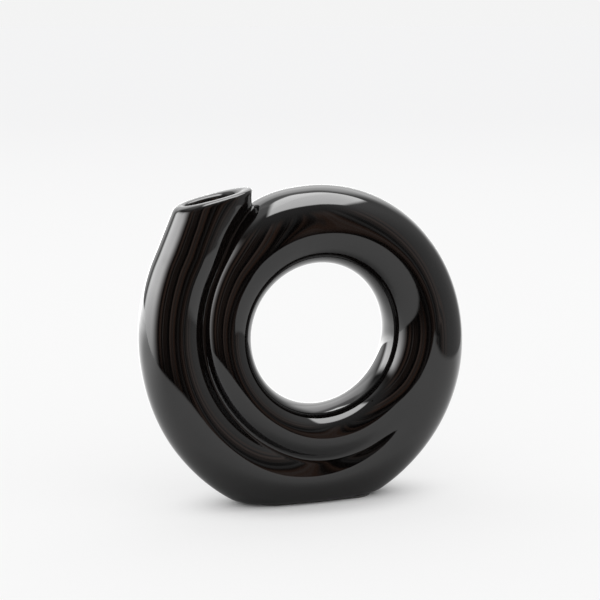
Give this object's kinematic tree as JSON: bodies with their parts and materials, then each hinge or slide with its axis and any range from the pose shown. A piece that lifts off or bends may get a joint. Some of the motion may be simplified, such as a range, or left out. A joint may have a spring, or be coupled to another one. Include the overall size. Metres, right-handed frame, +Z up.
{
  "type": "donut vase",
  "caption": "Hollow ceramic vase whose tube winds round a central hole and ends in an oblique open mouth, pressed in two halves on a felt pad.",
  "frame": {"origin": "middle of the felt pad's underside, on the table", "axes": "+Z up, +X to the right in the picture, -Y towards the viewer; the hole runs along Y"},
  "size_m": [0.2364, 0.055, 0.2213],
  "materials": {
    "black_glaze_front": "glossy black glaze",
    "black_glaze_back": "glossy black glaze",
    "felt": "dark grey pressed felt"
  },
  "bodies": {
    "root": {"front_shell": "black_glaze_front", "back_shell": "black_glaze_back", "foot_pad": "felt"}
  },
  "joints": []
}
